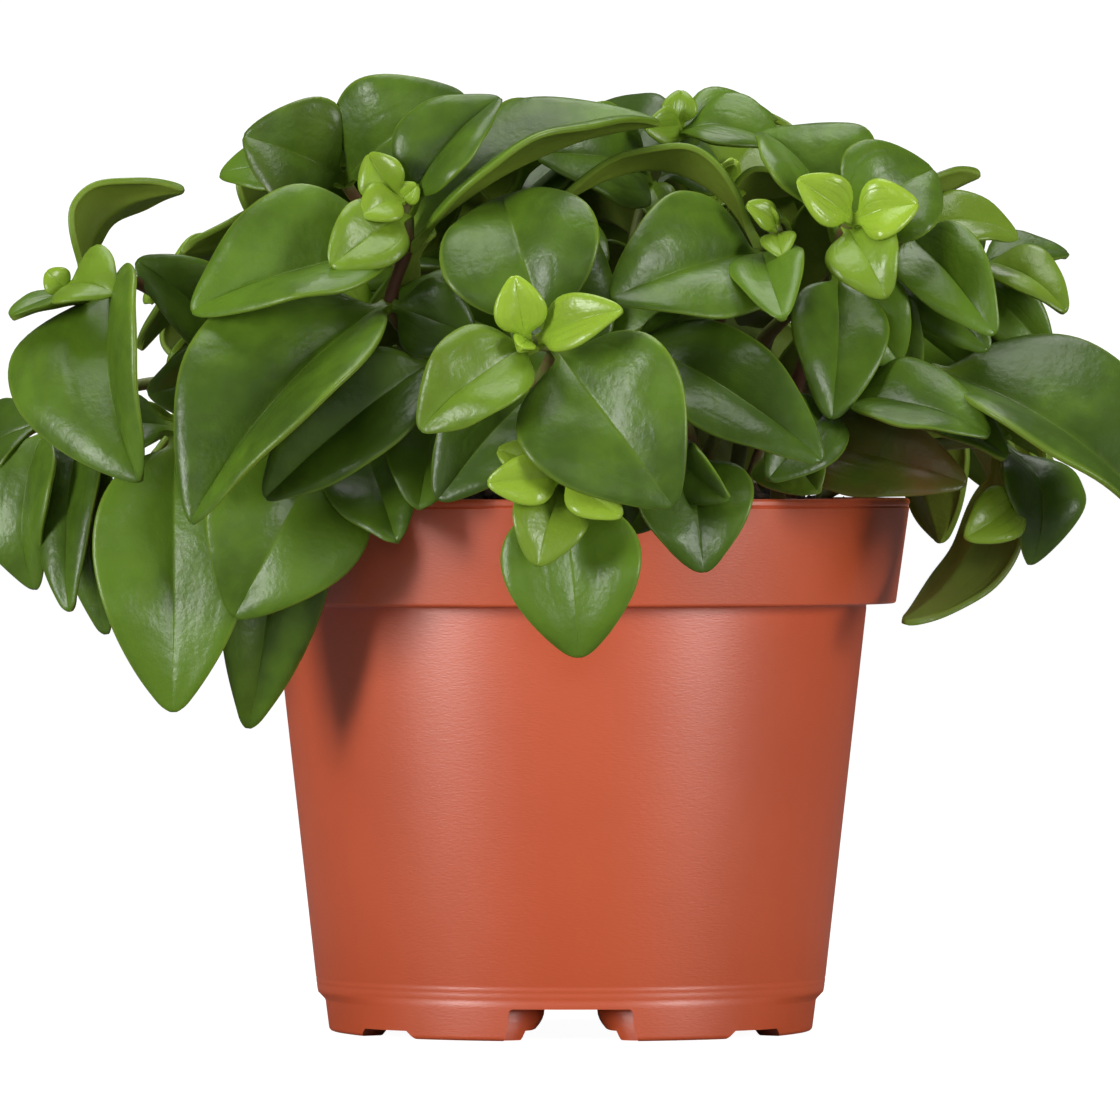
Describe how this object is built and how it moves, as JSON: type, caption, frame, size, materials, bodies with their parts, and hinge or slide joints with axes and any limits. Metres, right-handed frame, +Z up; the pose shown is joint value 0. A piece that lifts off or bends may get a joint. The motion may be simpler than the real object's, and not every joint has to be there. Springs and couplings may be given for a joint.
{
  "type": "potted peperomia",
  "caption": "Bushy peperomia with fleshy pointed leaves on arching stems, growing over the rim of a tapered plastic nursery pot filled with soil.",
  "frame": {"origin": "middle of the surface that the pot stands on, on the pot's axis", "axes": "+Z up along the pot's axis, +X to the right seen from the front, -Y towards the front"},
  "size_m": [0.2106, 0.1909, 0.1676],
  "materials": {
    "pot_plastic": "satin",
    "potting_soil": "matte",
    "leaf_and_stem": "satin"
  },
  "bodies": {
    "root": {"pot": "pot_plastic", "soil": "potting_soil", "stem_back_left_crown": "leaf_and_stem", "stem_centre": "leaf_and_stem", "stem_far_left": "leaf_and_stem", "stem_far_right": "leaf_and_stem", "stem_hanging_left": "leaf_and_stem", "stem_inner_1": "leaf_and_stem", "stem_inner_2": "leaf_and_stem", "stem_inner_3": "leaf_and_stem", "stem_left_crown": "leaf_and_stem", "stem_left_middle": "leaf_and_stem", "stem_low_far_right": "leaf_and_stem", "stem_low_front": "leaf_and_stem", "stem_low_left": "leaf_and_stem", "stem_low_right": "leaf_and_stem", "stem_mid_right": "leaf_and_stem", "stem_middle_1": "leaf_and_stem", "stem_middle_2": "leaf_and_stem", "stem_middle_3": "leaf_and_stem", "stem_middle_4": "leaf_and_stem", "stem_middle_5": "leaf_and_stem", "stem_outer_left": "leaf_and_stem", "stem_right_arch": "leaf_and_stem", "stem_right_crown": "leaf_and_stem", "stem_right_hand": "leaf_and_stem", "stem_right_middle": "leaf_and_stem", "stem_skirt_1": "leaf_and_stem", "stem_skirt_2": "leaf_and_stem", "stem_skirt_3": "leaf_and_stem", "stem_skirt_4": "leaf_and_stem", "stem_skirt_5": "leaf_and_stem", "stem_skirt_6": "leaf_and_stem", "stem_top": "leaf_and_stem", "stem_top_1": "leaf_and_stem", "stem_top_2": "leaf_and_stem", "stem_top_3": "leaf_and_stem", "stem_top_4": "leaf_and_stem", "stem_under_right": "leaf_and_stem"}
  },
  "joints": []
}
